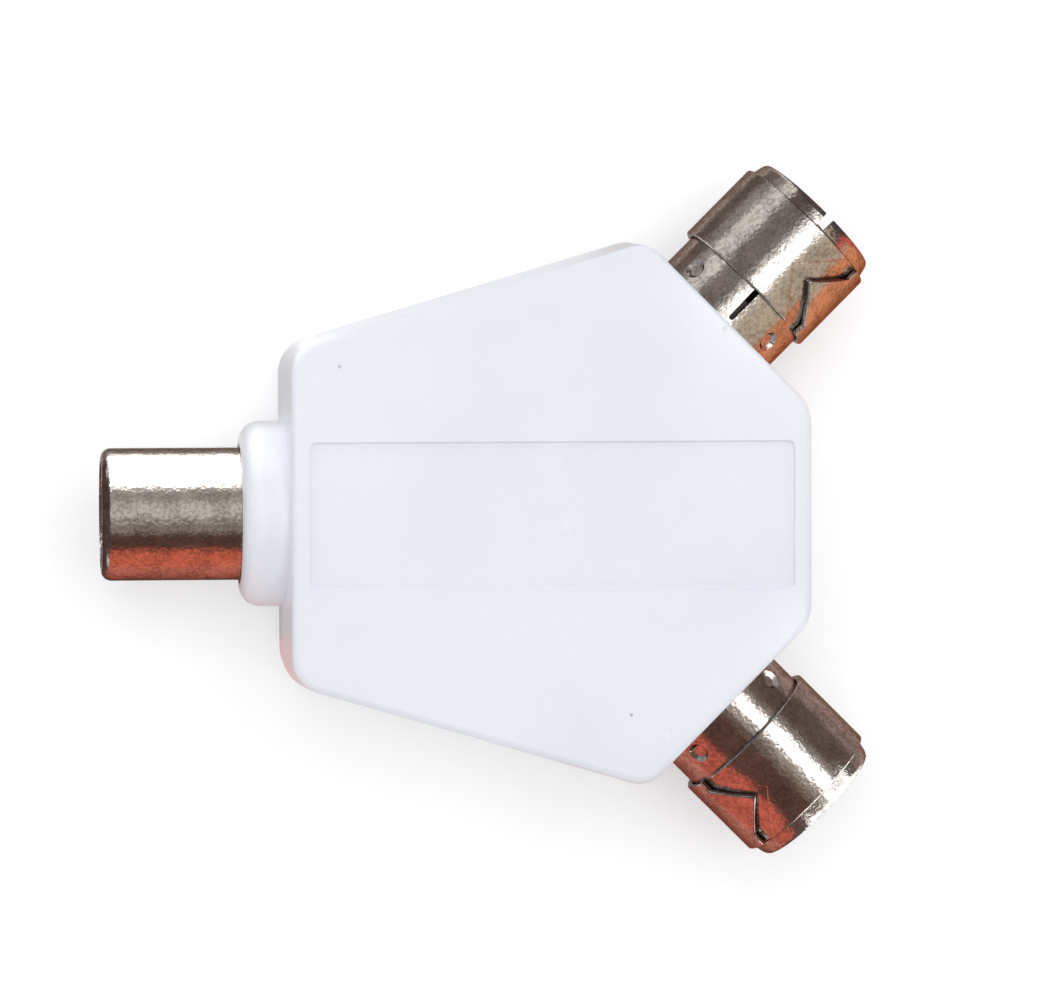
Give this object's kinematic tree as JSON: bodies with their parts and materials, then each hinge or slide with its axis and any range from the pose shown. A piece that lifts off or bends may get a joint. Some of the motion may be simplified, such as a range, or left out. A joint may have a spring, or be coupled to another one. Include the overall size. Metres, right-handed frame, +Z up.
{
  "type": "coaxial splitter",
  "caption": "Moulded aerial splitter: a coaxial plug on one end of a wedge-shaped white housing and slit coaxial sockets on its angled faces.",
  "frame": {"origin": "on the base plane, under the point where the three connector axes meet", "axes": "+X points from the plug towards the sockets, +Y towards the left socket, +Z up out of the face with the panel"},
  "size_m": [0.0554, 0.05, 0.0156],
  "materials": {
    "housing_white": "gloss moulded plastic",
    "nickel_plate": "bright nickel plate on brass",
    "spring_plate": "bright nickel plate on spring strip",
    "insulator_plastic": "dark moulded plastic",
    "tinned_sheet": "tinned steel sheet",
    "board_laminate": "brown board laminate",
    "ferrite": "sintered ferrite",
    "winding_wire": "enamelled copper wire",
    "resistor_chip": "glazed chip with tinned ends",
    "capacitor_chip": "ceramic chip with tinned ends"
  },
  "bodies": {
    "root": {"upper_shell": "housing_white", "lower_shell": "housing_white", "plug_sleeve": "nickel_plate", "plug_pin": "nickel_plate", "plug_insulator": "insulator_plastic", "left_socket_tube": "nickel_plate", "right_socket_tube": "nickel_plate", "left_spring_ring": "spring_plate", "right_spring_ring": "spring_plate", "left_socket_insulator": "insulator_plastic", "right_socket_insulator": "insulator_plastic", "left_socket_contact": "nickel_plate", "right_socket_contact": "nickel_plate", "earth_frame": "tinned_sheet", "circuit_board": "board_laminate", "matching_core": "ferrite", "splitting_core": "ferrite", "matching_winding": "winding_wire", "splitting_winding": "winding_wire", "balance_resistor": "resistor_chip", "input_capacitor": "capacitor_chip", "left_capacitor": "capacitor_chip", "right_capacitor": "capacitor_chip"}
  },
  "joints": []
}
